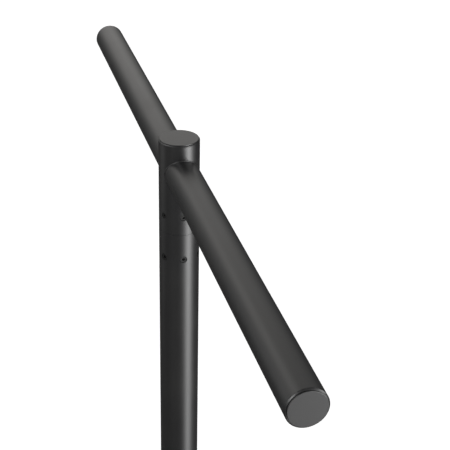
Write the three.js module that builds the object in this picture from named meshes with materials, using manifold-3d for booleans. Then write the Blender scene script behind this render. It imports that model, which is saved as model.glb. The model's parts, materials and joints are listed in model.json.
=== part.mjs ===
// Pool handrail: a round post on a bolted base, and a bolt-on head that carries one straight rail.
// Millimetres, +Z up. The deck is the plane Z = 0, the post stands on the Z axis and the rail runs along X.
import * as THREE from 'three';
import { mergeVertices } from 'three/addons/utils/BufferGeometryUtils.js';
import Module from 'manifold-3d';

const wasm = await Module();
wasm.setup();

// Driving dimensions
const POST_HEIGHT = 900; // deck to the flat top of the post cap
const POST_OD = 60.3;
const POST_WALL = 2.9;
const RAIL_OD = 50;
const RAIL_WALL = 2;
const RAIL_LENGTH = 1200; // over both end caps, as long in front of the post as behind it
const RAIL_DROP = 49; // post top down to the rail's axis
const SEAM_DROP = 144.5; // post top down to the joint between post and head
const GAP = 0.3; // fitting clearance between neighbouring pieces
const TUBE_SIDES = 40; // facets round a large piece
const HOLE_SIDES = 12; // facets round a screw or a hole

// Sizes worked out from them
const POST_R = POST_OD / 2;
const POST_BORE = POST_R - POST_WALL;
const RAIL_R = RAIL_OD / 2;
const RAIL_BORE = RAIL_R - RAIL_WALL;
const RAIL_Z = POST_HEIGHT - RAIL_DROP;
const SEAM_Z = POST_HEIGHT - SEAM_DROP;

// End caps: a raised disc, a shadow groove round it, and a bevelled rim as wide as the tube
const CAP = {
  discHeight: 1.4,
  discBevel: 0.4,
  rimBevel: 1.1,
  rimLand: 0.6,
  grooveDepth: 0.8,
  plate: 5, // thickness of the closed end
  plugLength: 19, // flat face down to the plug's lower edge
  sealR: 1.2, // half the thickness of the sealing ring
  sealDepth: 11, // flat face down to the middle of the sealing ring
};
const CAP_DEPTH = CAP.discHeight + CAP.rimBevel + CAP.rimLand; // flat face down to the tube's end
const POST_CAP_INSET = 1.5; // disc edge in from the tube's outside
const RAIL_CAP_INSET = 2.2;

// Joint between post and head: an inner sleeve, held by two rings of countersunk socket screws
const SLEEVE = { wall: 6, below: 61.5, above: 48.5, chamfer: 1 };
const RING_SCREWS = 6;
const M4 = { headR: 4, shankR: 2, length: 8, socketAcross: 2.5, socketDepth: 1.4, z: SEAM_Z + 28.5 };
const M5 = { headR: 5, shankR: 2.5, length: 10, socketAcross: 3, socketDepth: 1.9, z: SEAM_Z - 41 };
const HEAD_LIP = 0.3; // straight edge of a countersunk head

// Base: a gasket, a plate with four anchor screws, and a loose rosette that covers them
const GASKET_T = 2;
const PLATE = { r: 80, thickness: 10, weldLeg: 5 };
const PLATE_TOP = GASKET_T + PLATE.thickness;
const ANCHOR = { circleR: 60, holeR: 5.5, shankR: 5, headAcross: 16, headHeight: 6.4, count: 4, end: 0.5 };
const WASHER = { outerR: 10, innerR: 5.3, thickness: 2 };
const RAIL_WELD_LEG = 1.5;
const ROSETTE = { r: 88, wall: 1.5, skirt: 12, rise: 27, collarR: 36, collarHeight: 8, boreClearance: 0.6 };
const ROSETTE_SEAL = { height: 3, thickness: 2.2, fromTop: 5.5 };

// Finishes
const satinBlack = new THREE.MeshStandardMaterial({ color: 0x2b2b2c, roughness: 0.42, metalness: 0.1 });
const screwBlack = new THREE.MeshStandardMaterial({ color: 0x3a3a3b, roughness: 0.38, metalness: 0.6 });
const bareSteel = new THREE.MeshStandardMaterial({ color: 0x9a9c9e, roughness: 0.35, metalness: 1 });
const blackRubber = new THREE.MeshStandardMaterial({ color: 0x141414, roughness: 0.85, metalness: 0 });

const group = new THREE.Group();

function addMesh(name, geometry, material) {
  const mesh = new THREE.Mesh(geometry, material);
  mesh.name = name;
  group.add(mesh);
  return mesh;
}

// A solid of revolution round Z from a list of [radius, z]. The profile runs anticlockwise, with the
// material on its left, and it starts and ends on the axis or closes on itself.
function revolve(profile, sides = TUBE_SIDES) {
  const points = profile.map(([radius, z]) => new THREE.Vector2(radius, z));
  return new THREE.LatheGeometry(points, sides).rotateX(Math.PI / 2);
}

function ringProfile(innerR, outerR, bottom, top) {
  return [[innerR, bottom], [outerR, bottom], [outerR, top], [innerR, top], [innerR, bottom]];
}

function rod(radius, bottom, top, sides = HOLE_SIDES) {
  return revolve([[0, bottom], [radius, bottom], [radius, top], [0, top]], sides);
}

function toSolid(geometry) {
  const bare = geometry.clone();
  bare.deleteAttribute('normal');
  bare.deleteAttribute('uv');
  const merged = mergeVertices(bare, 1e-4);
  const corners = merged.index ? merged.index.array : [...merged.attributes.position.array.keys()];
  const faces = [];
  for (let i = 0; i < corners.length; i += 3) {
    const [a, b, c] = [corners[i], corners[i + 1], corners[i + 2]];
    if (a !== b && b !== c && c !== a) faces.push(a, b, c);
  }
  const vertProperties = new Float32Array(merged.attributes.position.array);
  const triVerts = new Uint32Array(faces);
  return new wasm.Manifold(new wasm.Mesh({ numProp: 3, vertProperties, triVerts }));
}

function toGeometry(solid) {
  const { vertProperties, triVerts, numProp } = solid.getMesh();
  const places = new Float32Array((vertProperties.length / numProp) * 3);
  for (let i = 0; i < places.length; i += 1) {
    places[i] = vertProperties[Math.floor(i / 3) * numProp + (i % 3)];
  }
  const geometry = new THREE.BufferGeometry();
  geometry.setAttribute('position', new THREE.BufferAttribute(places, 3));
  geometry.setIndex(new THREE.BufferAttribute(new Uint32Array(triVerts), 1));
  geometry.computeVertexNormals();
  return geometry;
}

function cut(geometry, ...tools) {
  return toGeometry(tools.reduce((solid, tool) => solid.subtract(toSolid(tool)), toSolid(geometry)));
}

function join(first, second) {
  return toGeometry(toSolid(first).add(toSolid(second)));
}

// Turns a shape built along Z to point along +X, then about Z to the azimuth.
function pointOutwards(geometry, azimuth = 0) {
  return geometry.rotateY(Math.PI / 2).rotateZ(azimuth);
}

function ringAngles(count, first = 0) {
  return Array.from({ length: count }, (_, i) => first + (i * 2 * Math.PI) / count);
}

function hexagonalRod(across, bottom, top) {
  const cornerR = across / 2 / Math.cos(Math.PI / 6);
  return rod(cornerR, bottom, top, 6);
}

// Countersunk socket screws. A head's flat face lies where its edge meets the round tube.
function headFace({ headR }) {
  return Math.sqrt(POST_R ** 2 - headR ** 2) - 0.05;
}

function countersunkScrew(size) {
  const face = headFace(size);
  const lip = face - HEAD_LIP;
  const neck = lip - (size.headR - size.shankR);
  const tip = face - size.length;
  const body = revolve([
    [0, tip],
    [size.shankR - 0.5, tip],
    [size.shankR, tip + 0.5],
    [size.shankR, neck],
    [size.headR, lip],
    [size.headR, face],
    [0, face],
  ], HOLE_SIDES);
  return cut(body, hexagonalRod(size.socketAcross, face - size.socketDepth, face + 1));
}

function countersunkHole(size, azimuth) {
  const wide = size.headR + GAP;
  const narrow = size.shankR + GAP;
  const lip = headFace(size) - HEAD_LIP - GAP * 0.4;
  const neck = lip - (wide - narrow);
  const tool = revolve([
    [0, POST_BORE - 12],
    [narrow, POST_BORE - 12],
    [narrow, neck],
    [wide, lip],
    [wide, POST_R + 2],
    [0, POST_R + 2],
  ], HOLE_SIDES);
  return pointOutwards(tool, azimuth).translate(0, 0, size.z);
}

function screwHoles(size) {
  return ringAngles(RING_SCREWS).map((azimuth) => countersunkHole(size, azimuth));
}

function addScrewRing(name, size) {
  ringAngles(RING_SCREWS).forEach((azimuth, i) => {
    const screw = pointOutwards(countersunkScrew(size), azimuth);
    addMesh(`${name}_${i + 1}`, screw, screwBlack).position.z = size.z;
  });
}

function addPostAndHead() {
  const postTop = SEAM_Z - GAP / 2;
  const post = revolve(ringProfile(POST_BORE, POST_R, PLATE_TOP, postTop));
  addMesh('post_tube', cut(post, ...screwHoles(M5)), satinBlack);

  const headTop = POST_HEIGHT - CAP_DEPTH - GAP;
  const head = revolve(ringProfile(POST_BORE, POST_R, SEAM_Z + GAP / 2, headTop));
  const railHole = pointOutwards(rod(RAIL_R + GAP, -POST_OD, POST_OD, TUBE_SIDES)).translate(0, 0, RAIL_Z);
  addMesh('head_tube', cut(head, railHole, ...screwHoles(M4)), satinBlack);
}

function addCouplingSleeve() {
  const outer = POST_BORE - GAP;
  const inner = outer - SLEEVE.wall;
  const bottom = SEAM_Z - SLEEVE.below;
  const top = SEAM_Z + SLEEVE.above;
  const edge = SLEEVE.chamfer;
  const sleeve = revolve([
    [inner, bottom],
    [outer - edge, bottom],
    [outer, bottom + edge],
    [outer, top - edge],
    [outer - edge, top],
    [inner, top],
    [inner, bottom],
  ]);
  const tapped = [M4, M5].flatMap((size) => ringAngles(RING_SCREWS).map((azimuth) => {
    const hole = rod(size.shankR + GAP, inner - 4, outer + 4);
    return pointOutwards(hole, azimuth).translate(0, 0, size.z);
  }));
  addMesh('coupling_sleeve', cut(sleeve, ...tapped), bareSteel);
}

function addRail() {
  const end = RAIL_LENGTH / 2 - CAP_DEPTH - GAP;
  const rail = pointOutwards(revolve(ringProfile(RAIL_BORE, RAIL_R, -end, end)));
  addMesh('rail_tube', rail, satinBlack).position.z = RAIL_Z;
}

// A cap with its flat face at z = 0 and its plug towards -Z.
function capGeometry(tubeR, boreR, inset) {
  const disc = tubeR - inset;
  const rimTop = -CAP.discHeight;
  const plug = boreR - GAP;
  const sealGroove = plug - 2 * CAP.sealR - GAP;
  const plugBore = sealGroove - 2;
  const halfGroove = CAP.sealR + GAP;
  return revolve([
    [0, -CAP.plate],
    [plugBore, -CAP.plate],
    [plugBore, -CAP.plugLength],
    [plug, -CAP.plugLength],
    [plug, -CAP.sealDepth - halfGroove],
    [sealGroove, -CAP.sealDepth - halfGroove],
    [sealGroove, -CAP.sealDepth + halfGroove],
    [plug, -CAP.sealDepth + halfGroove],
    [plug, -CAP_DEPTH],
    [tubeR, -CAP_DEPTH],
    [tubeR, rimTop - CAP.rimBevel],
    [tubeR - CAP.rimBevel, rimTop],
    [tubeR - CAP.rimBevel, rimTop - CAP.grooveDepth],
    [disc, rimTop - CAP.grooveDepth],
    [disc, -CAP.discBevel],
    [disc - CAP.discBevel, 0],
    [0, 0],
  ]);
}

function capSealGeometry(boreR) {
  const ring = new THREE.TorusGeometry(boreR - GAP - CAP.sealR, CAP.sealR, 6, 32);
  return ring.translate(0, 0, -CAP.sealDepth);
}

function addCap(name, { tubeR, boreR, inset }, place, quarterTurns) {
  const cap = addMesh(name, capGeometry(tubeR, boreR, inset), satinBlack);
  const seal = addMesh(`${name}_seal`, capSealGeometry(boreR), blackRubber);
  for (const mesh of [cap, seal]) {
    mesh.geometry.rotateY((quarterTurns * Math.PI) / 2);
    mesh.position.set(...place);
  }
}

function addCaps() {
  const onPost = { tubeR: POST_R, boreR: POST_BORE, inset: POST_CAP_INSET };
  const onRail = { tubeR: RAIL_R, boreR: RAIL_BORE, inset: RAIL_CAP_INSET };
  const reach = RAIL_LENGTH / 2;
  addCap('post_cap', onPost, [0, 0, POST_HEIGHT], 0);
  addCap('rail_cap_front', onRail, [reach, 0, RAIL_Z], 1);
  addCap('rail_cap_rear', onRail, [-reach, 0, RAIL_Z], -1);
}

// A small dressed fillet round the rail where it leaves the head: a three-cornered section whose
// corners lie on the rail, in the corner, and on the post.
function railWeldGeometry(side) {
  const railR = RAIL_R + GAP;
  const postR = POST_R + GAP;
  const onPost = (radius, angle) => {
    const y = radius * Math.sin(angle);
    return [side * Math.sqrt(postR ** 2 - y ** 2), y, radius * Math.cos(angle)];
  };
  const places = [];
  for (const angle of ringAngles(TUBE_SIDES)) {
    const corner = onPost(railR, angle);
    const alongRail = [corner[0] + side * RAIL_WELD_LEG, corner[1], corner[2]];
    places.push(...corner, ...alongRail, ...onPost(railR + RAIL_WELD_LEG, angle));
  }
  const faces = [];
  for (let i = 0; i < TUBE_SIDES; i += 1) {
    const here = i * 3;
    const next = ((i + 1) % TUBE_SIDES) * 3;
    for (let k = 0; k < 3; k += 1) {
      const other = (k + 1) % 3;
      const quad = [here + k, here + other, next + other, next + k];
      const [a, b, c, d] = side < 0 ? quad : quad.reverse();
      faces.push(a, b, c, a, c, d);
    }
  }
  const geometry = new THREE.BufferGeometry();
  geometry.setAttribute('position', new THREE.Float32BufferAttribute(places, 3));
  geometry.setIndex(faces);
  geometry.computeVertexNormals();
  return geometry;
}

function addWelds() {
  addMesh('rail_weld_front', railWeldGeometry(1), satinBlack).position.z = RAIL_Z;
  addMesh('rail_weld_rear', railWeldGeometry(-1), satinBlack).position.z = RAIL_Z;
  const inner = POST_R + GAP;
  const baseWeld = revolve([
    [inner, PLATE_TOP],
    [inner + PLATE.weldLeg, PLATE_TOP],
    [inner, PLATE_TOP + PLATE.weldLeg],
    [inner, PLATE_TOP],
  ]);
  addMesh('base_weld', baseWeld, bareSteel);
}

function anchorAngles() {
  return ringAngles(ANCHOR.count, Math.PI / 4);
}

function discWithAnchorHoles(radius, bottom, thickness) {
  const outline = new THREE.Shape().absarc(0, 0, radius, 0, 2 * Math.PI);
  for (const angle of anchorAngles()) {
    const hole = new THREE.Path();
    const x = ANCHOR.circleR * Math.cos(angle);
    const y = ANCHOR.circleR * Math.sin(angle);
    hole.absarc(x, y, ANCHOR.holeR, 0, 2 * Math.PI, true);
    outline.holes.push(hole);
  }
  const options = { depth: thickness, bevelEnabled: false, curveSegments: 16 };
  return new THREE.ExtrudeGeometry(outline, options).translate(0, 0, bottom);
}

function addBase() {
  addMesh('base_gasket', discWithAnchorHoles(PLATE.r, 0, GASKET_T), blackRubber);
  addMesh('base_plate', discWithAnchorHoles(PLATE.r, GASKET_T, PLATE.thickness), bareSteel);
  const seat = PLATE_TOP + WASHER.thickness;
  const shank = rod(ANCHOR.shankR, ANCHOR.end, seat + 1);
  const anchor = join(shank, hexagonalRod(ANCHOR.headAcross, seat, seat + ANCHOR.headHeight));
  const washer = revolve(ringProfile(WASHER.innerR, WASHER.outerR, PLATE_TOP, seat), 16);
  anchorAngles().forEach((angle, i) => {
    const place = new THREE.Vector3(ANCHOR.circleR, 0, 0).applyAxisAngle(new THREE.Vector3(0, 0, 1), angle);
    addMesh(`anchor_screw_${i + 1}`, anchor.clone(), bareSteel).position.copy(place);
    addMesh(`anchor_washer_${i + 1}`, washer.clone(), bareSteel).position.copy(place);
  });
}

// Points of a quarter of an ellipse, from the side (angle 0) round to the top.
function quarterRound(centreR, centreZ, radius, height, steps = 4) {
  return Array.from({ length: steps + 1 }, (_, i) => {
    const angle = (i / steps) * (Math.PI / 2);
    return [centreR + radius * Math.cos(angle), centreZ + height * Math.sin(angle)];
  });
}

function addRosette() {
  const { r, wall, skirt, rise, collarR, collarHeight } = ROSETTE;
  const bore = POST_R + ROSETTE.boreClearance;
  const top = rise + collarHeight;
  const shoulder = r - 14;
  const sealTop = top - ROSETTE_SEAL.fromTop + ROSETTE_SEAL.height;
  const sealBottom = top - ROSETTE_SEAL.fromTop;
  const groove = bore + ROSETTE_SEAL.thickness;
  const rosette = revolve([
    [r - wall, 0],
    [r, 0],
    ...quarterRound(shoulder, skirt, r - shoulder, rise - 3 - skirt),
    [collarR + 3, rise],
    [collarR, rise + 3],
    [collarR, top - 1],
    [collarR - 1, top],
    [bore, top],
    [bore, sealTop + GAP],
    [groove + GAP, sealTop + GAP],
    [groove + GAP, sealBottom - GAP],
    [bore, sealBottom - GAP],
    [bore, rise - wall],
    ...quarterRound(shoulder, skirt, r - shoulder - wall, rise - 3 - skirt - wall).reverse(),
    [r - wall, 0],
  ]);
  addMesh('cover_rosette', rosette, satinBlack);
  const seal = revolve(ringProfile(POST_R + GAP, groove, sealBottom, sealTop));
  addMesh('rosette_seal', seal, blackRubber);
}

addPostAndHead();
addScrewRing('upper_screw', M4);
addScrewRing('lower_screw', M5);
addCouplingSleeve();
addRail();
addCaps();
addWelds();
addBase();
addRosette();

export default group;
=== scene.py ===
# %% [markdown]
# # A pool handrail
# A round post stands on a bolted base. A head slides over a sleeve on top of the post, and one straight
# rail runs through the head. Every tube is coated satin black.
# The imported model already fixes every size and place. This lesson builds the fine surface of each piece
# round it, one piece at a time, with the operators that a modeller uses by hand.

import json
import math

import bmesh
import bpy
from mathutils import Matrix, Vector


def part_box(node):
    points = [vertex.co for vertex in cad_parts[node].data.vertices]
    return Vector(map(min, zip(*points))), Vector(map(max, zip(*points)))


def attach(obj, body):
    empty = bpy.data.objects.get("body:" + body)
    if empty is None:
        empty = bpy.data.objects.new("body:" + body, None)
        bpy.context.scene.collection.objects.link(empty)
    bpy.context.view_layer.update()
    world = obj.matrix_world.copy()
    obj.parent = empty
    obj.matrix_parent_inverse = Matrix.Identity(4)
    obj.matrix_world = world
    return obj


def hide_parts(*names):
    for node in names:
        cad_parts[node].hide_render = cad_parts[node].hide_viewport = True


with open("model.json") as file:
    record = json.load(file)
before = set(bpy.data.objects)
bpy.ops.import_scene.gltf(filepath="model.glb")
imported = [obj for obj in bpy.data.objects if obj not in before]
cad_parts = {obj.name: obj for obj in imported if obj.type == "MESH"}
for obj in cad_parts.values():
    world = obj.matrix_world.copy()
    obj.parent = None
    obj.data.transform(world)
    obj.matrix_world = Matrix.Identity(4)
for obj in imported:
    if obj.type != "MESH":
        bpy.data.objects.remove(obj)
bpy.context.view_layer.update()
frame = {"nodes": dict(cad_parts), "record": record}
MM = 0.001
print("pieces in the frame:", len(frame["nodes"]))

# %% [markdown]
# ## Sizes
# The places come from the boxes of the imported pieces, so nothing here can drift from them. Wall
# thicknesses and the small steps of the end caps can't be read from a box, so they are named here.

# %% Read the sizes
def size_of(node):
    low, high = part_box(node)
    return high - low


POST_R = size_of("post_tube").x / 2
RAIL_R = size_of("rail_tube").y / 2
POST_WALL = 2.9 * MM
RAIL_WALL = 2 * MM
POST_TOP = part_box("post_cap")[1].z
RAIL_Z = (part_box("rail_tube")[0].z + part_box("rail_tube")[1].z) / 2
RAIL_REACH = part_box("rail_cap_front")[1].x
print(f"post {2 * POST_R / MM:.1f} mm wide, {POST_TOP / MM:.0f} mm tall")
print(f"rail {2 * RAIL_R / MM:.1f} mm wide, {2 * RAIL_REACH / MM:.0f} mm long")
print(f"rail's axis {RAIL_Z / MM:.0f} mm above the deck")

# %% [markdown]
# ## Camera
# The eye stands in front of the rail's near end, a little to its left, and looks down at the head of the
# post. A long lens keeps the tubes slender. The camera is turned about its own line of sight by about
# one degree, so that the post stands upright in the view although it is left of the middle.

# %% Place the camera
EYE = Vector((1.5269, -0.3449, POST_TOP + 0.679))
TURN = math.radians(74.76)
TILT_DOWN = math.radians(27.66)
ROLL = math.radians(1.19)
LENS = 94.41
SENSOR = 36
FAR_CLIP = 100

camera = bpy.data.objects.new("camera", bpy.data.cameras.new("camera"))
bpy.context.scene.collection.objects.link(camera)
aim = Matrix.Rotation(TURN, 4, "Z") @ Matrix.Rotation(math.pi / 2 - TILT_DOWN, 4, "X")
camera.matrix_world = Matrix.Translation(EYE) @ aim @ Matrix.Rotation(ROLL, 4, "Z")
camera.data.lens = LENS
camera.data.sensor_width = SENSOR
camera.data.clip_end = FAR_CLIP
bpy.context.scene.camera = camera
print("camera is", round((EYE - Vector((0, 0, POST_TOP))).length, 2), "m from the post's top")

# %% [markdown]
# ## Light
# Black satin shows its shape only by what it reflects, so the light is placed for its reflections. A dim,
# even sky lights every side a little. A tall soft light at the front right draws the long highlight down
# the post. Wide lights behind give the rail its pale back, and they are a little warm. Three small ones
# draw the thin bright lines on the rims of the caps. Area lamps could do this, but glows painted on the
# world reach the near and the far end of the rail from the same side. The eye itself sees plain white
# behind the floor's edge.

# %% Light the studio
SKY_ABOVE = 0.15
SKY_BELOW = 0.05
HAZE = math.radians(7)
EYE_WHITE = 1.0
NEUTRAL = (1, 1, 1, 1)
WARM = (1.0, 0.98, 0.945, 1)
# name, azimuth, elevation, half width, half height in degrees, strength
KEY_GLOWS = (
    ("key upper", 42, -5, 16, 20, 3.95),
    ("key lower", 42, -22, 14, 26, 2.5),
    ("key left", 25, 0, 22, 18, 1.9),
    ("key low left", 30, -30, 18, 16, 0.8),
    ("key low right", 56, -25, 18, 16, 0.98),
    ("left", 247, 0, 18, 16, 1.7),
    ("low front", -45, -29, 40, 16, 0.1),
    ("rim front", -50, 20, 12, 18, 4.6),
    ("rim left", -105, 46, 20, 12, 2.8),
    ("rim right", 74, 14, 10, 13, 4.6),
)
BACK_GLOWS = (
    ("back", 174, 20, 18, 16, 0.86),
    ("back right", 150, 20, 18, 16, 0.12),
    ("back left", 197, 20, 18, 16, 0.4),
    ("back left high", 205, 30, 14, 14, 0.38),
    ("far left high", 230, 30, 14, 14, 0.5),
)

scene = bpy.context.scene
scene.view_settings.view_transform = "Standard"
scene.view_settings.look = "None"


def calculate(tree, operation, first, second=0.0, third=0.0):
    """One math node. Each value is a number or the output of another node."""
    node = tree.nodes.new("ShaderNodeMath")
    node.operation = operation
    for socket, value in zip(node.inputs, (first, second, third)):
        if isinstance(value, (int, float)):
            socket.default_value = value
        else:
            tree.links.new(value, socket)
    return node.outputs["Value"]


def paint_glow(tree, azimuth, elevation, glow):
    """A soft oval of light. Azimuth 0 is the rail's front end and 90 is the +Y side."""
    _, glow_azimuth, glow_elevation, wide, tall, strength = glow
    sideways = calculate(tree, "SUBTRACT", azimuth, math.radians(glow_azimuth))
    sideways = calculate(tree, "WRAP", sideways, math.pi, -math.pi)
    sideways = calculate(tree, "DIVIDE", sideways, math.radians(wide))
    upwards = calculate(tree, "SUBTRACT", elevation, math.radians(glow_elevation))
    upwards = calculate(tree, "DIVIDE", upwards, math.radians(tall))
    far = calculate(tree, "MULTIPLY", sideways, sideways)
    far = calculate(tree, "MULTIPLY_ADD", upwards, upwards, far)
    fade = calculate(tree, "EXPONENT", calculate(tree, "MULTIPLY", far, -1.0))
    return calculate(tree, "MULTIPLY", fade, strength)


def backdrop(tree, colour, strength):
    """A background of one colour. Its strength is a number or the output of another node."""
    node = tree.nodes.new("ShaderNodeBackground")
    node.inputs["Color"].default_value = colour
    if isinstance(strength, (int, float)):
        node.inputs["Strength"].default_value = strength
    else:
        tree.links.new(strength, node.inputs["Strength"])
    return node.outputs["Background"]


def paint_world():
    world = bpy.data.worlds.new("studio")
    world.use_nodes = True
    tree = world.node_tree
    place = tree.nodes.new("ShaderNodeTexCoord")
    split = tree.nodes.new("ShaderNodeSeparateXYZ")
    tree.links.new(place.outputs["Generated"], split.inputs["Vector"])
    azimuth = calculate(tree, "ARCTAN2", split.outputs["Y"], split.outputs["X"])
    elevation = calculate(tree, "ARCSINE", split.outputs["Z"])
    horizon = tree.nodes.new("ShaderNodeMapRange")
    horizon.interpolation_type = "SMOOTHSTEP"
    horizon.inputs["From Min"].default_value = -HAZE
    horizon.inputs["From Max"].default_value = HAZE
    horizon.inputs["To Min"].default_value = SKY_BELOW
    horizon.inputs["To Max"].default_value = SKY_ABOVE
    tree.links.new(elevation, horizon.inputs["Value"])
    neutral = horizon.outputs["Result"]
    for glow in KEY_GLOWS:
        neutral = calculate(tree, "ADD", neutral, paint_glow(tree, azimuth, elevation, glow))
    warm = 0.0
    for glow in BACK_GLOWS:
        warm = calculate(tree, "ADD", warm, paint_glow(tree, azimuth, elevation, glow))
    both = tree.nodes.new("ShaderNodeAddShader")
    tree.links.new(backdrop(tree, NEUTRAL, neutral), both.inputs[0])
    tree.links.new(backdrop(tree, WARM, warm), both.inputs[1])
    ray = tree.nodes.new("ShaderNodeLightPath")
    choose = tree.nodes.new("ShaderNodeMixShader")
    tree.links.new(ray.outputs["Is Camera Ray"], choose.inputs["Fac"])
    tree.links.new(both.outputs["Shader"], choose.inputs[1])
    tree.links.new(backdrop(tree, NEUTRAL, EYE_WHITE), choose.inputs[2])
    tree.links.new(choose.outputs["Shader"], tree.nodes["World Output"].inputs["Surface"])
    return world


scene.world = paint_world()
print("glows on the world:", len(KEY_GLOWS) + len(BACK_GLOWS))

# %% [markdown]
# ## Floor
# The floor is one large pale sheet. A bent backdrop would hide its edge too, but a sheet this wide has its
# edge out of sight in every view. It glows a little, so that it stays white in dim light, and the black
# coat doesn't mirror it.

# %% Lay the floor
FLOOR_WIDTH = 400
FLOOR_GLOW = 0.72
PALE = (0.78, 0.78, 0.78, 1)


def material(name):
    """A new node material, with its shader and its node tree."""
    made = bpy.data.materials.new(name)
    made.use_nodes = True
    return made, made.node_tree.nodes["Principled BSDF"], made.node_tree


def clear_selection():
    bpy.ops.object.select_all(action="DESELECT")


def active_object(name):
    """Names the primitive that has just been added."""
    piece = bpy.context.active_object
    piece.name = name
    piece.data.name = name
    return piece


clear_selection()
bpy.ops.mesh.primitive_plane_add(size=FLOOR_WIDTH, location=(0, 0, 0))
floor = active_object("floor")
pale, pale_shader, _ = material("pale floor")
pale_shader.inputs["Base Color"].default_value = PALE
pale_shader.inputs["Roughness"].default_value = 0.9
pale_shader.inputs["Specular IOR Level"].default_value = 0.1
pale_shader.inputs["Emission Color"].default_value = NEUTRAL
pale_shader.inputs["Emission Strength"].default_value = FLOOR_GLOW
floor.data.materials.append(pale)
floor.visible_diffuse = False
floor.visible_glossy = False
floor.visible_shadow = False
print("floor:", FLOOR_WIDTH, "m wide")

# %% [markdown]
# ## Satin black coat
# Powder coat is sprayed as dry powder and baked. It levels out into a very fine orange peel, under a
# millimetre across, with hardly any colour of its own. An image of a coat could be laid on as a
# texture, but noise has no seams and follows every piece. One fine noise bends the surface a little, and
# one slow noise makes the sheen uneven, as a baked coat is.

# %% Mix the coat
NOISE_LOW = 0.3
NOISE_HIGH = 0.7


def noise(tree, scale, detail, stretch=(1, 1, 1)):
    """A noise on the piece's own coordinates, in metres, stretched along an axis where asked."""
    place = tree.nodes.new("ShaderNodeTexCoord")
    mapping = tree.nodes.new("ShaderNodeMapping")
    mapping.inputs["Scale"].default_value = stretch
    texture = tree.nodes.new("ShaderNodeTexNoise")
    texture.inputs["Scale"].default_value = scale
    texture.inputs["Detail"].default_value = detail
    tree.links.new(place.outputs["Object"], mapping.inputs["Vector"])
    tree.links.new(mapping.outputs["Vector"], texture.inputs["Vector"])
    return texture.outputs["Fac"]


def between(tree, value, low, high):
    """Turns a noise into a number that runs from low to high."""
    spread = tree.nodes.new("ShaderNodeMapRange")
    spread.inputs["From Min"].default_value = NOISE_LOW
    spread.inputs["From Max"].default_value = NOISE_HIGH
    spread.inputs["To Min"].default_value = low
    spread.inputs["To Max"].default_value = high
    tree.links.new(value, spread.inputs["Value"])
    return spread.outputs["Result"]


def two_tones(tree, value, dark, light):
    """Turns a noise into a colour between two tones."""
    ramp = tree.nodes.new("ShaderNodeValToRGB")
    ramp.color_ramp.elements[0].position = NOISE_LOW
    ramp.color_ramp.elements[0].color = (*dark, 1)
    ramp.color_ramp.elements[1].position = NOISE_HIGH
    ramp.color_ramp.elements[1].color = (*light, 1)
    tree.links.new(value, ramp.inputs["Fac"])
    return ramp.outputs["Color"]


def bump(tree, shader, height, distance, strength):
    """Lets a noise bend the surface. The distance is the height of its grain, in metres."""
    node = tree.nodes.new("ShaderNodeBump")
    node.inputs["Distance"].default_value = distance
    node.inputs["Strength"].default_value = strength
    tree.links.new(height, node.inputs["Height"])
    tree.links.new(node.outputs["Normal"], shader.inputs["Normal"])


def mix_coat():
    coat, shader, tree = material("satin black coat")
    shader.inputs["Specular IOR Level"].default_value = 1.0
    patches = noise(tree, 18, 3)
    tone = two_tones(tree, patches, (0.014, 0.014, 0.0146), (0.018, 0.018, 0.0177))
    tree.links.new(tone, shader.inputs["Base Color"])
    tree.links.new(between(tree, patches, 0.31, 0.35), shader.inputs["Roughness"])
    bump(tree, shader, noise(tree, 1400, 2), 0.02 * MM, 0.5)
    return coat


coat = mix_coat()
print("coat:", coat.name)

# %% [markdown]
# ## The small steel and rubber pieces
# The screws are blackened steel, darker than the coat. The base, which the rosette hides, is
# bare brushed steel. Its scratches are a noise drawn out along one axis. Rubber is dull and grainy.

# %% Mix the other finishes
def mix_screw_black():
    black, shader, tree = material("blackened screw steel")
    shader.inputs["Metallic"].default_value = 0.3
    shader.inputs["Specular IOR Level"].default_value = 0.7
    grain = noise(tree, 900, 3)
    tone = two_tones(tree, grain, (0.008, 0.008, 0.008), (0.016, 0.016, 0.016))
    tree.links.new(tone, shader.inputs["Base Color"])
    tree.links.new(between(tree, grain, 0.34, 0.44), shader.inputs["Roughness"])
    bump(tree, shader, grain, 0.01 * MM, 0.4)
    return black


def mix_brushed_steel():
    steel, shader, tree = material("brushed steel")
    shader.inputs["Metallic"].default_value = 1
    brushing = noise(tree, 60, 4, stretch=(1, 40, 40))
    tone = two_tones(tree, brushing, (0.46, 0.465, 0.47), (0.6, 0.605, 0.61))
    tree.links.new(tone, shader.inputs["Base Color"])
    tree.links.new(between(tree, brushing, 0.26, 0.4), shader.inputs["Roughness"])
    bump(tree, shader, brushing, 0.03 * MM, 0.4)
    return steel


def mix_rubber():
    rubber, shader, tree = material("black rubber")
    grain = noise(tree, 700, 4)
    tone = two_tones(tree, grain, (0.01, 0.01, 0.01), (0.018, 0.018, 0.018))
    tree.links.new(tone, shader.inputs["Base Color"])
    tree.links.new(between(tree, grain, 0.7, 0.85), shader.inputs["Roughness"])
    bump(tree, shader, grain, 0.05 * MM, 0.5)
    return rubber


screw_black = mix_screw_black()
brushed_steel = mix_brushed_steel()
rubber = mix_rubber()
FINISHES = {
    "satin_black_coat": coat,
    "black_screw": screw_black,
    "stainless": brushed_steel,
    "black_rubber": rubber,
}
print("finishes:", ", ".join(FINISHES))

# %% [markdown]
# ## Helpers
# Four things are done to almost every piece. Faces and edges are picked by where they are. A tool is cut
# away from a piece. Sharp edges are softened, because a real edge always catches a thin line of light. At
# the end the piece is handed to its body, takes its finish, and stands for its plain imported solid.

# %% Write the helpers
SOFTEN_ABOVE = math.radians(28)
SMOOTH_BELOW = math.radians(30)


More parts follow.
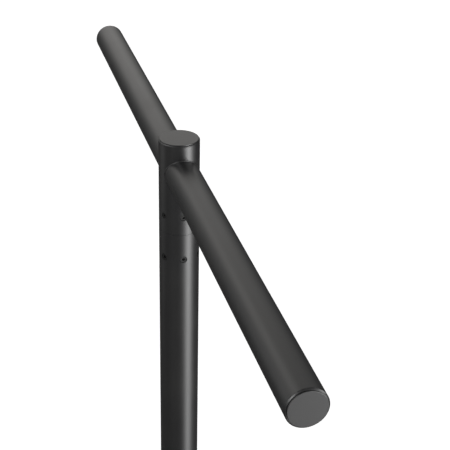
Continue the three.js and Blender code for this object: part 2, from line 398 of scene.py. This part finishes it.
def pick(piece, wanted, kind="faces"):
    """In edit mode, selects only the faces or edges whose middle point and normal pass the test."""
    mesh = bmesh.from_edit_mesh(piece.data)
    bpy.ops.mesh.select_all(action="DESELECT")
    bpy.ops.mesh.select_mode(type="FACE" if kind == "faces" else "EDGE")
    for element in getattr(mesh, kind):
        points = [vertex.co for vertex in element.verts]
        middle = sum(points, Vector()) / len(points)
        element.select_set(wanted(middle, element))
    bmesh.update_edit_mesh(piece.data)


def extrude(distance):
    """Extrudes what is selected along Z."""
    bpy.ops.mesh.extrude_region_move(TRANSFORM_OT_translate={"value": (0, 0, distance)})


def make_active(piece):
    clear_selection()
    piece.select_set(True)
    bpy.context.view_layer.objects.active = piece


def apply_modifier(piece, kind, **settings):
    modifier = piece.modifiers.new(kind.lower(), kind)
    for key, value in settings.items():
        setattr(modifier, key, value)
    make_active(piece)
    bpy.ops.object.modifier_apply(modifier=modifier.name)


def cut_away(piece, tool):
    """Cuts one mesh out of another and throws the tool away."""
    apply_modifier(piece, "BOOLEAN", operation="DIFFERENCE", solver="EXACT", object=tool)
    bpy.data.objects.remove(tool)


def soften(piece, width, segments=2):
    """Rounds every sharp edge of a piece."""
    apply_modifier(
        piece,
        "BEVEL",
        width=width,
        segments=segments,
        limit_method="ANGLE",
        angle_limit=SOFTEN_ABOVE,
        harden_normals=False,
    )


def smooth(piece):
    """Smooth shading. Large faces keep their own normal, so a flat disc with a soft edge stays flat."""
    make_active(piece)
    bpy.ops.object.shade_smooth_by_angle(angle=SMOOTH_BELOW)
    apply_modifier(piece, "WEIGHTED_NORMAL", keep_sharp=True, weight=100)


def settle(piece, turn=(0, 0, 0), place=(0, 0, 0)):
    """Turns and moves a piece, then puts its place into its mesh."""
    make_active(piece)
    piece.rotation_euler = turn
    piece.location = place
    bpy.ops.object.transform_apply(location=True, rotation=True, scale=True)


def copy_of(piece, name):
    make_active(piece)
    bpy.ops.object.duplicate(linked=False)
    return active_object(name)


def slot_of(node):
    for entry in frame["record"]["subparts"]:
        if entry["node"] == node:
            return entry["material_slot"]


def body_of(node):
    for body, nodes in frame["record"]["behaviour"]["bodies"].items():
        if node in nodes:
            return body


def hand_over(piece, node):
    """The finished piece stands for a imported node: same body, same material slot."""
    smooth(piece)
    slot = slot_of(node)
    piece.data.materials.clear()
    piece.data.materials.append(FINISHES[slot])
    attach(piece, body_of(node))
    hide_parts(node)
    triangles = sum(len(face.vertices) - 2 for face in piece.data.polygons)
    print(f"{piece.name}: {triangles} triangles")


# %% [markdown]
# ## Tubes
# A tube could be a solid rod with a rod cut out of it. An open cylinder that the Solidify modifier gives
# its wall is simpler, and the wall stays exact. The ends are softened before any hole is cut. A hole
# upsets the smooth shading of every long face that it touches, so bisect first adds a few edge rings close
# above and below the holes, and the long faces beyond them stay clean.

# %% Make the post
SIDES = 192
TUBE_EDGE = 0.15 * MM


def rod(name, radius, low, high, sides=SIDES, ends="NGON"):
    """A round rod along Z, with its place already in its mesh."""
    clear_selection()
    bpy.ops.mesh.primitive_cylinder_add(
        vertices=sides,
        radius=radius,
        depth=high - low,
        end_fill_type=ends,
        location=(0, 0, (low + high) / 2),
    )
    made = active_object(name)
    settle(made, place=made.location.copy())
    return made


def add_rings(piece, heights):
    """Cuts a ring of edges round an upright piece at each height."""
    make_active(piece)
    bpy.ops.object.mode_set(mode="EDIT")
    for height in heights:
        bpy.ops.mesh.select_all(action="SELECT")
        bpy.ops.mesh.bisect(plane_co=(0, 0, height), plane_no=(0, 0, 1))
    bpy.ops.object.mode_set(mode="OBJECT")


def tube(name, radius, wall, low, high, rings=()):
    """A tube along Z with its outside at the given radius."""
    made = rod(name, radius, low, high, ends="NOTHING")
    add_rings(made, rings)
    apply_modifier(made, "SOLIDIFY", thickness=wall, offset=-1, use_even_offset=True)
    soften(made, TUBE_EDGE)
    return made


RING_SCREWS = 6
RAIL_HOLE_GAP = 0.1 * MM
HOLE_GAP = 0.6 * MM
HOLE_MOUTH = 6 * MM
HOLE_BORE = 12 * MM
CONE_SUNK = 0.5 * MM
SUNK = 0.4 * MM
M4 = {
    "node": "upper_screw",
    "head": 4 * MM,
    "shank": 2 * MM,
    "length": 8 * MM,
    "socket": 3.4 * MM,
    "depth": 2.6 * MM,
}
M5 = {
    "node": "lower_screw",
    "head": 5 * MM,
    "shank": 2.5 * MM,
    "length": 10 * MM,
    "socket": 4.2 * MM,
    "depth": 3.4 * MM,
}
for size in (M4, M5):
    corner_low, corner_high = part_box(size["node"] + "_1")
    size["z"] = (corner_low.z + corner_high.z) / 2
    size["face"] = corner_high.x - SUNK


def countersink(size):
    """One hole along +X: a straight bore, a 90 degree cone and a straight mouth out of the tube."""
    wide = size["head"] + HOLE_GAP
    narrow = size["shank"] + HOLE_GAP
    cone = wide - narrow
    clear_selection()
    bpy.ops.mesh.primitive_cone_add(vertices=48, radius1=narrow, radius2=wide, depth=cone)
    tool = active_object("hole_0")
    bpy.ops.object.mode_set(mode="EDIT")
    pick(tool, lambda middle, face: face.normal.z > 0.9)
    extrude(HOLE_MOUTH)
    pick(tool, lambda middle, face: face.normal.z < -0.9)
    extrude(-HOLE_BORE)
    bpy.ops.object.mode_set(mode="OBJECT")
    mouth = size["face"] - CONE_SUNK
    settle(tool, turn=(0, math.pi / 2, 0), place=(mouth - cone / 2, 0, size["z"]))
    return tool


def all_round(first, name, count, start=0.0):
    """Copies a piece round the Z axis, each copy with its own mesh."""
    settle(first, turn=(0, 0, start))
    made = [first]
    for index in range(1, count):
        other = copy_of(first, f"{name}_{index + 1}")
        settle(other, turn=(0, 0, index * 2 * math.pi / count))
        made.append(other)
    return made


def join_up(pieces):
    clear_selection()
    for piece in pieces:
        piece.select_set(True)
    bpy.context.view_layer.objects.active = pieces[0]
    bpy.ops.object.join()
    return pieces[0]


def rings_near(height, reach):
    return (height - reach, height + reach)


post_low, post_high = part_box("post_tube")
post = tube("post", POST_R, POST_WALL, post_low.z, post_high.z, rings_near(M5["z"], 7 * MM))
cut_away(post, join_up(all_round(countersink(M5), "hole", RING_SCREWS)))
hand_over(post, "post_tube")

# %% [markdown]
# ## Head
# The head is the same tube, crossed by one hole that takes the rail, and drilled for the smaller screws.
# Rail and head could simply pass through each other, but the real head is cut for the rail, and a true
# hole keeps both walls right. It is cut with a rod a little wider than the rail.

# %% Make the head
head_low, head_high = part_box("head_tube")
head_rings = (*rings_near(M4["z"], 6 * MM), *rings_near(RAIL_Z, RAIL_R + 1.5 * MM))
head = tube("head", POST_R, POST_WALL, head_low.z, head_high.z, head_rings)
rail_hole = rod("rail_hole", RAIL_R + RAIL_HOLE_GAP, -2 * POST_R, 2 * POST_R)
settle(rail_hole, turn=(0, math.pi / 2, 0), place=(0, 0, RAIL_Z))
cut_away(head, rail_hole)
cut_away(head, join_up(all_round(countersink(M4), "hole", RING_SCREWS)))
hand_over(head, "head_tube")

# %% [markdown]
# ## Rail
# One tube runs right through the head, so both arms are in line. Two short arms would look the same from
# outside, but one tube is how such a rail stays straight. It is made upright like the others, with the
# same helper, and then laid along X.

# %% Make the rail
rail_low, rail_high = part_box("rail_tube")
rail = tube("rail", RAIL_R, RAIL_WALL, rail_low.x, rail_high.x)
settle(rail, turn=(0, math.pi / 2, 0), place=(0, 0, RAIL_Z))
hand_over(rail, "rail_tube")

# %% [markdown]
# ## Weld beads on the rail
# The rail is welded into the head all the way round. The bead follows the line where the two tubes meet,
# which is a saddle. A ring could be bent to it, but the line is easy to work out point by point, so it is
# drawn as a closed curve and thickened. The coat covers it.

# %% Lay the beads
BEAD_R = 0.9 * MM
BEAD_POINTS = 144


def saddle_bead(name):
    """A round bead along the line where the front arm leaves the post."""
    line = bpy.data.curves.new(name, "CURVE")
    line.dimensions = "3D"
    line.bevel_depth = BEAD_R
    line.bevel_resolution = 3
    path = line.splines.new("POLY")
    path.points.add(BEAD_POINTS - 1)
    path.use_cyclic_u = True
    for index, point in enumerate(path.points):
        angle = index * 2 * math.pi / BEAD_POINTS
        sideways = RAIL_R * math.sin(angle)
        outwards = math.sqrt(POST_R**2 - sideways**2)
        point.co = (outwards, sideways, RAIL_Z + RAIL_R * math.cos(angle), 1)
    drawn = bpy.data.objects.new(name, line)
    scene.collection.objects.link(drawn)
    make_active(drawn)
    bpy.ops.object.convert(target="MESH")
    return active_object(name)


front_bead = saddle_bead("front_bead")
rear_bead = copy_of(front_bead, "rear_bead")
settle(rear_bead, turn=(0, 0, math.pi))
hand_over(front_bead, "rail_weld_front")
hand_over(rear_bead, "rail_weld_rear")

# %% [markdown]
# ## End caps
# Each cap is turned from one disc: a bevelled rim as wide as the tube, a narrow shadow groove, and a
# raised flat disc. Underneath is a hollow plug. A lathe profile could be spun, but inset and extrude on a
# short cylinder show each step of the turning.

# %% Make the caps
CAP_STEPS = {"disc": 1.4 * MM, "flange": 1.7 * MM, "groove": 0.5 * MM, "edge": 0.5 * MM}
RIM_SHARE = 0.62
POST_CAP_INSET = 1.5 * MM
RAIL_CAP_INSET = 2.2 * MM
PLUG_GAP = 0.3 * MM
PLUG_WALL = 3 * MM
CAP_DEPTH = CAP_STEPS["disc"] + CAP_STEPS["flange"]
PLUG_END = 19 * MM
PLATE_DEPTH = 5 * MM


def at_height(height):
    """A test for flat faces that look up or down at one height."""
    return lambda middle, face: abs(middle.z - height) < 0.01 * MM and abs(face.normal.z) > 0.9


def cap(name, tube_r, bore_r, inset):
    """A cap with its flat disc at z = 0 and its plug below."""
    top = -CAP_STEPS["disc"]
    rim = RIM_SHARE * inset
    made = rod(name, tube_r, -CAP_DEPTH, top)
    bpy.ops.object.mode_set(mode="EDIT")
    pick(made, lambda middle, edge: middle.z > top - 0.01 * MM, kind="edges")
    bpy.ops.mesh.bevel(offset=rim, offset_type="OFFSET", segments=1, affect="EDGES")
    pick(made, at_height(top))
    extrude(-CAP_STEPS["groove"])
    bpy.ops.mesh.inset(thickness=inset - rim, depth=0)
    extrude(CAP_STEPS["groove"] + CAP_STEPS["disc"])
    pick(made, lambda middle, edge: middle.z > -0.01 * MM, kind="edges")
    bpy.ops.mesh.bevel(offset=CAP_STEPS["edge"], offset_type="OFFSET", segments=3, affect="EDGES")
    pick(made, at_height(-CAP_DEPTH))
    bpy.ops.mesh.inset(thickness=tube_r - bore_r + PLUG_GAP, depth=0)
    extrude(-(PLUG_END - CAP_DEPTH))
    bpy.ops.mesh.inset(thickness=PLUG_WALL, depth=0)
    extrude(PLUG_END - PLATE_DEPTH)
    bpy.ops.object.mode_set(mode="OBJECT")
    soften(made, 0.12 * MM)
    return made


post_cap = cap("post_cap_turned", POST_R, POST_R - POST_WALL, POST_CAP_INSET)
settle(post_cap, place=(0, 0, POST_TOP))
hand_over(post_cap, "post_cap")

front_cap = cap("front_cap_turned", RAIL_R, RAIL_R - RAIL_WALL, RAIL_CAP_INSET)
rear_cap = copy_of(front_cap, "rear_cap_turned")
settle(front_cap, turn=(0, math.pi / 2, 0), place=(RAIL_REACH, 0, RAIL_Z))
settle(rear_cap, turn=(0, -math.pi / 2, 0), place=(-RAIL_REACH, 0, RAIL_Z))
hand_over(front_cap, "rail_cap_front")
hand_over(rear_cap, "rail_cap_rear")

# %% [markdown]
# ## Countersunk screws
# A head is a cone with a flat face, and the hexagon socket is cut with a six-sided rod. A flat dark
# hexagon would do from far away, but a cut socket has its own shade and edges. Each size is modelled
# once, at the front of the post, and copied round it.

# %% Make the screws
HEAD_LIP = 0.3 * MM
SHANK_TIP = 0.5 * MM


def hexagon(name, across, low, high):
    """A six-sided rod, as wide as a spanner or a key for it."""
    return rod(name, across / 2 / math.cos(math.pi / 6), low, high, sides=6)


def countersunk_screw(size):
    """The screw at the front of the post, with its face flush in its hole."""
    cone = size["head"] - size["shank"]
    clear_selection()
    bpy.ops.mesh.primitive_cone_add(
        vertices=64,
        radius1=size["shank"],
        radius2=size["head"],
        depth=cone,
        location=(0, 0, -HEAD_LIP - cone / 2),
    )
    screw = active_object(size["node"] + "_turned_1")
    settle(screw, place=screw.location.copy())
    bpy.ops.object.mode_set(mode="EDIT")
    pick(screw, lambda middle, face: face.normal.z > 0.9)
    extrude(HEAD_LIP)
    pick(screw, lambda middle, face: face.normal.z < -0.9)
    extrude(-(size["length"] - cone - HEAD_LIP - SHANK_TIP))
    extrude(-SHANK_TIP)
    bpy.ops.transform.resize(value=(0.8, 0.8, 1))
    bpy.ops.object.mode_set(mode="OBJECT")
    cut_away(screw, hexagon("socket", size["socket"], -size["depth"], size["depth"]))
    soften(screw, 0.1 * MM)
    settle(screw, turn=(0, math.pi / 2, 0), place=(size["face"], 0, size["z"]))
    return screw


for size in (M4, M5):
    ring = all_round(countersunk_screw(size), size["node"] + "_turned", RING_SCREWS)
    for number, screw in enumerate(ring, 1):
        hand_over(screw, f"{size['node']}_{number}")

# %% [markdown]
# ## Foot
# The post stands on a round steel plate over a rubber gasket, and a fillet weld joins post and plate. Each
# disc is one rod whose edge is softened before the four anchor holes are cut. The weld is a spun profile,
# and its ripples are made by pulling every other ring of points a little.

# %% Make the gasket, the plate and the weld
ANCHORS = 4
ANCHOR_START = math.pi / ANCHORS
ANCHOR_HOLE_R = 5.5 * MM
anchor_low, anchor_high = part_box("anchor_screw_1")
ANCHOR_PLACE = Vector(((anchor_low.x + anchor_high.x) / 2, (anchor_low.y + anchor_high.y) / 2, 0))


def anchored_disc(name, node, edge):
    """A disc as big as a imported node, with four holes for the anchors."""
    low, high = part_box(node)
    disc = rod(name, high.x, low.z, high.z)
    soften(disc, edge, segments=3)
    drill = rod("drill", ANCHOR_HOLE_R, low.z - 1 * MM, high.z + 1 * MM, sides=64)
    settle(drill, place=(ANCHOR_PLACE.length, 0, 0))
    cut_away(disc, join_up(all_round(drill, "drill", ANCHORS, start=ANCHOR_START)))
    hand_over(disc, node)
    return disc


def spun(name, profile, steps=SIDES):
    """A closed outline of (radius, height) points turned once round the Z axis."""
    outline = bpy.data.meshes.new(name)
    sides = [(index, (index + 1) % len(profile)) for index in range(len(profile))]
    outline.from_pydata([(radius, 0, height) for radius, height in profile], sides, [])
    made = bpy.data.objects.new(name, outline)
    scene.collection.objects.link(made)
    make_active(made)
    bpy.ops.object.mode_set(mode="EDIT")
    bpy.ops.mesh.select_all(action="SELECT")
    bpy.ops.mesh.spin(steps=steps, angle=2 * math.pi, center=(0, 0, 0), axis=(0, 0, 1))
    bpy.ops.mesh.select_all(action="SELECT")
    bpy.ops.mesh.remove_doubles(threshold=1e-6)
    bpy.ops.mesh.normals_make_consistent(inside=False)
    bpy.ops.object.mode_set(mode="OBJECT")
    return made


def arc(centre, radii, start, end, steps):
    """Points of an elliptical arc, both ends included. Angles are in degrees."""
    points = []
    for index in range(steps + 1):
        angle = math.radians(start + (end - start) * index / steps)
        points.append((centre[0] + radii[0] * math.cos(angle), centre[1] + radii[1] * math.sin(angle)))
    return points


anchored_disc("gasket_cut", "base_gasket", 0.4 * MM)
anchored_disc("plate_turned", "base_plate", 0.8 * MM)

weld_low, weld_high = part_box("base_weld")
WELD_LEG = weld_high.z - weld_low.z
RIPPLES = 96
RIPPLE_HEIGHT = 0.15 * MM
BULGE = 0.86 * WELD_LEG
weld_foot = (POST_R, weld_low.z)
weld_face = arc(weld_foot, (BULGE, BULGE), 0, 90, 6)[1:-1]
corners = [weld_foot, (POST_R + WELD_LEG, weld_low.z), *weld_face, (POST_R, weld_high.z)]
base_bead = spun("base_bead", corners, steps=2 * RIPPLES)
for vertex in base_bead.data.vertices:
    turn = math.atan2(vertex.co.y, vertex.co.x)
    ripple = RIPPLE_HEIGHT * math.cos(turn * RIPPLES)
    away = Vector((math.cos(turn), math.sin(turn), 0))
    if vertex.co.xy.length > POST_R + 0.5 * MM and vertex.co.z > weld_low.z + 0.5 * MM:
        vertex.co += away * ripple
hand_over(base_bead, "base_weld")

# %% [markdown]
# ## Anchor screws and washers
# A hexagon head has its corners turned off at 30 degrees. Keeping only what lies inside a steep cone does
# that in one step. The shank is added with a union, so head and shank are one piece.

# %% Make the anchors
HEAD_ACROSS = 16 * MM
HEAD_HEIGHT = 6.4 * MM
ANCHOR_SHANK_R = 5 * MM
seat = anchor_high.z - HEAD_HEIGHT

bolt = hexagon("anchor_turned_1", HEAD_ACROSS, seat, anchor_high.z)
cone_top = 0.95 * HEAD_ACROSS / 2
cone_foot = cone_top + HEAD_HEIGHT * math.tan(math.radians(60))
clear_selection()
bpy.ops.mesh.primitive_cone_add(
    vertices=96,
    radius1=cone_foot,
    radius2=cone_top,
    depth=HEAD_HEIGHT,
    location=(0, 0, seat + HEAD_HEIGHT / 2),
)
chamfer_cone = active_object("chamfer_cone")
apply_modifier(bolt, "BOOLEAN", operation="INTERSECT", solver="EXACT", object=chamfer_cone)
bpy.data.objects.remove(chamfer_cone)
soften(bolt, 0.15 * MM)
shank = rod("shank", ANCHOR_SHANK_R, anchor_low.z, seat + 1 * MM, sides=64)
soften(shank, 0.4 * MM, segments=1)
apply_modifier(bolt, "BOOLEAN", operation="UNION", solver="EXACT", object=shank)
bpy.data.objects.remove(shank)
settle(bolt, place=(ANCHOR_PLACE.length, 0, 0))
for number, anchor in enumerate(all_round(bolt, "anchor_turned", ANCHORS, start=ANCHOR_START), 1):
    hand_over(anchor, f"anchor_screw_{number}")

washer_low, washer_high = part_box("anchor_washer_1")
WASHER_BORE_R = 5.3 * MM
washer_r = (washer_high.x - washer_low.x) / 2
section = [
    (WASHER_BORE_R, washer_low.z),
    (washer_r, washer_low.z),
    (washer_r, washer_high.z),
    (WASHER_BORE_R, washer_high.z),
]
washer = spun("washer_punched_1", section, steps=64)
soften(washer, 0.2 * MM)
settle(washer, place=(ANCHOR_PLACE.length, 0, 0))
for number, ring in enumerate(all_round(washer, "washer_punched", ANCHORS, start=ANCHOR_START), 1):
    hand_over(ring, f"anchor_washer_{number}")

# %% [markdown]
# ## Cover rosette
# The rosette is spun from one thin sheet: a skirt that stands on the deck, a round shoulder, a shallow
# slope and a collar round the post. Its outline is drawn once round, outside and inside, and turned. The
# rubber ring sits in a groove of the collar and has two lips that wipe the post.

# %% Spin the rosette
rosette_low, rosette_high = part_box("cover_rosette")
SHEET = 1.5 * MM
SKIRT = 12 * MM
SHOULDER_WIDTH = 14 * MM
SHOULDER_TOP = 24 * MM
SLOPE_TOP = 27 * MM
COLLAR_R = 36 * MM
FILLET = 3 * MM
COLLAR_ROUND = 1 * MM
BORE_ROUND = 0.4 * MM
BORE_R = POST_R + 0.6 * MM
GROOVE_DEPTH = 2.5 * MM
SEAL_GAP = 0.3 * MM
LIP = 0.9 * MM
skirt_r = rosette_high.x
collar_top = rosette_high.z
shoulder = (skirt_r - SHOULDER_WIDTH, SKIRT)
shoulder_height = SHOULDER_TOP - SKIRT
ring_low, ring_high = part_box("rosette_seal")

outside = [
    (skirt_r - SHEET / 2, 0),
    *arc((skirt_r - SHEET / 2, SHEET / 2), (SHEET / 2, SHEET / 2), -60, 0, 3),
    *arc(shoulder, (SHOULDER_WIDTH, shoulder_height), 0, 90, 20),
    *arc((COLLAR_R + FILLET, SLOPE_TOP + FILLET), (FILLET, FILLET), 270, 180, 8),
    *arc((COLLAR_R - COLLAR_ROUND, collar_top - COLLAR_ROUND), (COLLAR_ROUND, COLLAR_ROUND), 0, 90, 5),
    *arc((BORE_R + BORE_ROUND, collar_top - BORE_ROUND), (BORE_ROUND, BORE_ROUND), 90, 180, 3),
]
groove = [
    (BORE_R, ring_high.z + SEAL_GAP),
    (BORE_R + GROOVE_DEPTH, ring_high.z + SEAL_GAP),
    (BORE_R + GROOVE_DEPTH, ring_low.z - SEAL_GAP),
    (BORE_R, ring_low.z - SEAL_GAP),
    (BORE_R, SLOPE_TOP - SHEET),
]
inside = arc(shoulder, (SHOULDER_WIDTH - SHEET, shoulder_height - SHEET), 90, 0, 20)
rim_inside = arc((skirt_r - SHEET / 2, SHEET / 2), (SHEET / 2, SHEET / 2), 180, 240, 3)
rosette = spun("rosette_spun", [*outside, *groove, *inside, *rim_inside])
hand_over(rosette, "cover_rosette")

ring_back = ring_high.x
ring_face = POST_R + SEAL_GAP
ring_height = ring_high.z - ring_low.z
lips = [
    (ring_back, ring_low.z),
    (ring_back, ring_high.z),
    (ring_face + LIP, ring_high.z),
    (ring_face, ring_high.z - 0.15 * ring_height),
    (ring_face + 0.1 * MM, ring_high.z - 0.25 * ring_height),
    (ring_face + LIP, ring_high.z - 0.5 * ring_height),
    (ring_face + 0.1 * MM, ring_low.z + 0.25 * ring_height),
    (ring_face, ring_low.z + 0.15 * ring_height),
    (ring_face + LIP, ring_low.z),
]
hand_over(spun("wiper_ring", lips), "rosette_seal")

# %% [markdown]
# ## The pieces that stay as packed
# The sleeve and the sealing rings of the caps are out of sight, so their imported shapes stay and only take
# a finish.

# %% Finish the hidden pieces
for node, solid in frame["nodes"].items():
    solid.data.materials.clear()
    solid.data.materials.append(FINISHES[slot_of(node)])
print("packed nodes with a finish:", len(frame["nodes"]))
